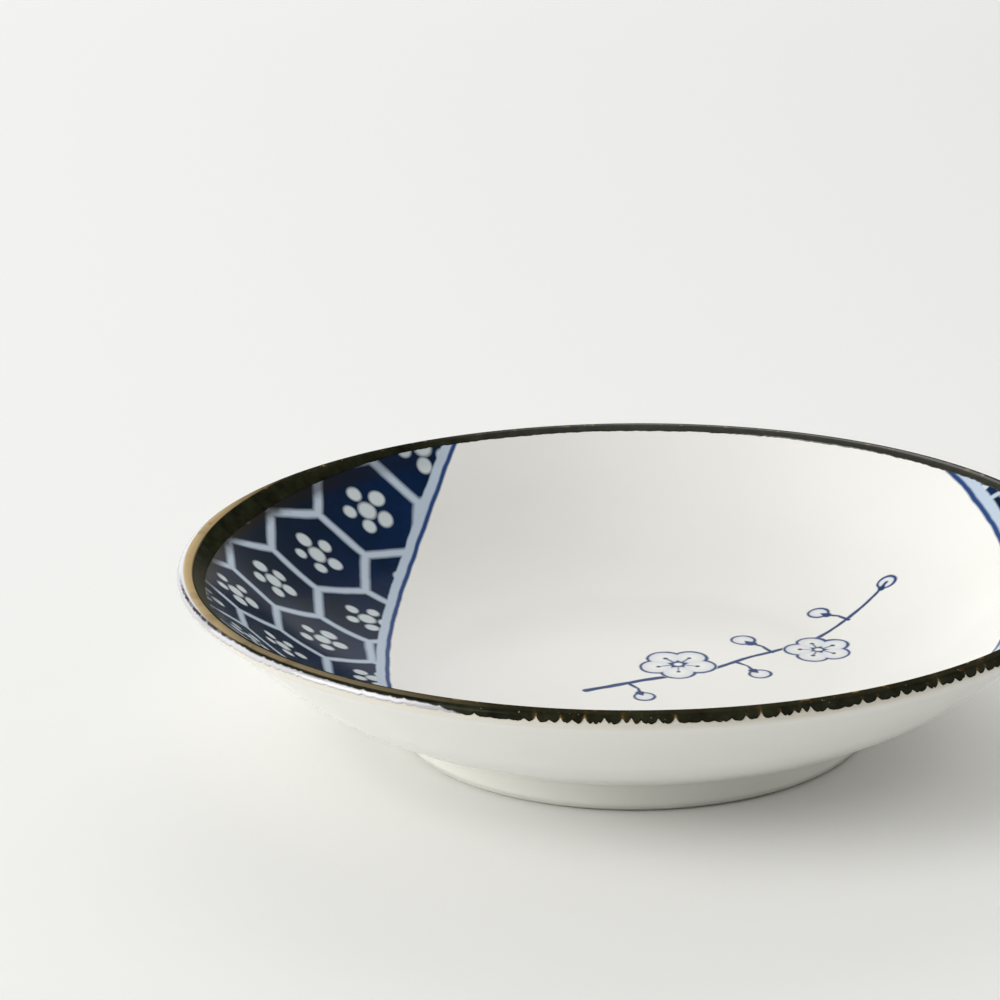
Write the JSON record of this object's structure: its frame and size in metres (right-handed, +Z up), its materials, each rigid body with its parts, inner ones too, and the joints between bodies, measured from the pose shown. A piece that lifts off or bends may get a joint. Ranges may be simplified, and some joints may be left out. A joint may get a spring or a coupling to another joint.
{
  "type": "small dish",
  "caption": "Small round footed dish with a flaring wall, an iron-brown lip and blue painted crescent panels inside, for sauce, condiments or a small serving.",
  "frame": {"origin": "centre of the foot ring's resting plane, on the dish's axis", "axes": "+Z up along the dish's axis, -Y towards the viewer of the picture, +X to the viewer's right"},
  "size_m": [0.1, 0.1, 0.0203],
  "materials": {
    "porcelain": "bare fired clay, matt",
    "clear_glaze": "clear gloss glaze over white clay",
    "iron_glaze": "iron-brown gloss glaze with rust-coloured thin spots",
    "cobalt_paint": "cobalt blue paint under clear gloss glaze"
  },
  "bodies": {
    "root": {"clay_body": "porcelain", "inner_glaze": "clear_glaze", "outer_glaze": "clear_glaze", "base_glaze": "clear_glaze", "rim_glaze": "iron_glaze", "left_pattern": "cobalt_paint", "right_pattern": "cobalt_paint", "sprig": "cobalt_paint"}
  },
  "joints": []
}
